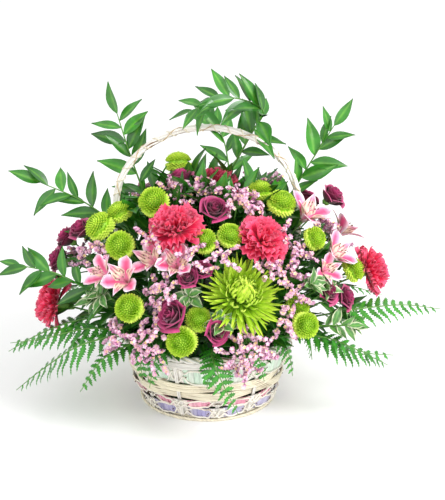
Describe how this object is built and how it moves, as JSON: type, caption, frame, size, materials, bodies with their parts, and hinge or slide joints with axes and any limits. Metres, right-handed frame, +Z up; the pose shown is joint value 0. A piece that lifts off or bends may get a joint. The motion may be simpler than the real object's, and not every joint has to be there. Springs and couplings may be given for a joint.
{
  "type": "flower basket arrangement",
  "caption": "Round woven basket with an arched handle, filled with pink, purple and lime green cut flowers, ruscus and fern set in floral foam.",
  "frame": {"origin": "centre of the flat underside of the basket's base", "axes": "+Z up; the front of the arrangement faces -Y; the handle's arch stands in the XZ plane, and +X is to the right seen from the front"},
  "size_m": [0.5393, 0.3691, 0.4055],
  "materials": {
    "willow": "matte",
    "lavender_chip": "matte",
    "pink_chip": "matte",
    "mint_chip": "matte",
    "liner": "gloss",
    "foam": "matte",
    "carnation": "matte",
    "spider_mum": "matte",
    "pompon": "matte",
    "rose": "matte",
    "alstroemeria": "matte",
    "statice": "matte",
    "ruscus": "satin",
    "pittosporum": "satin",
    "fern": "satin"
  },
  "bodies": {
    "root": {"alstroemeria_back": "alstroemeria", "alstroemeria_centre": "alstroemeria", "alstroemeria_left": "alstroemeria", "alstroemeria_right": "alstroemeria", "alstroemeria_top_right": "alstroemeria", "band_lavender": "lavender_chip", "band_mint": "mint_chip", "band_pink": "pink_chip", "band_reed_lower": "willow", "band_reed_upper": "willow", "band_top": "willow", "basket_frame": "willow", "carnation_back": "carnation", "carnation_front_left": "carnation", "carnation_front_right": "carnation", "carnation_left": "carnation", "carnation_right": "carnation", "carnation_top": "carnation", "fern_back": "fern", "fern_front": "fern", "fern_left_long": "fern", "fern_left_short": "fern", "fern_right_long": "fern", "fern_right_low": "fern", "foam": "foam", "foot_cord": "willow", "handle": "willow", "liner": "liner", "pittosporum_back": "pittosporum", "pittosporum_right": "pittosporum", "pompon_lower_left": "pompon", "pompon_right": "pompon", "pompons_back": "pompon", "pompons_centre": "pompon", "pompons_front": "pompon", "pompons_left": "pompon", "pompons_lower_right": "pompon", "pompons_top_left": "pompon", "pompons_top_right": "pompon", "rim_hoop": "willow", "rosebuds_centre": "rose", "roses_back": "rose", "roses_front": "rose", "roses_left": "rose", "roses_right": "rose", "roses_top": "rose", "roses_upper_right": "rose", "ruscus_back": "ruscus", "ruscus_left": "ruscus", "ruscus_low_left": "ruscus", "ruscus_over_handle": "ruscus", "ruscus_tall_left": "ruscus", "ruscus_tall_right": "ruscus", "spider_mum": "spider_mum", "statice_back": "statice", "statice_front": "statice", "statice_front_left": "statice", "statice_lower_left": "statice", "statice_right": "statice", "statice_top": "statice"}
  },
  "joints": []
}
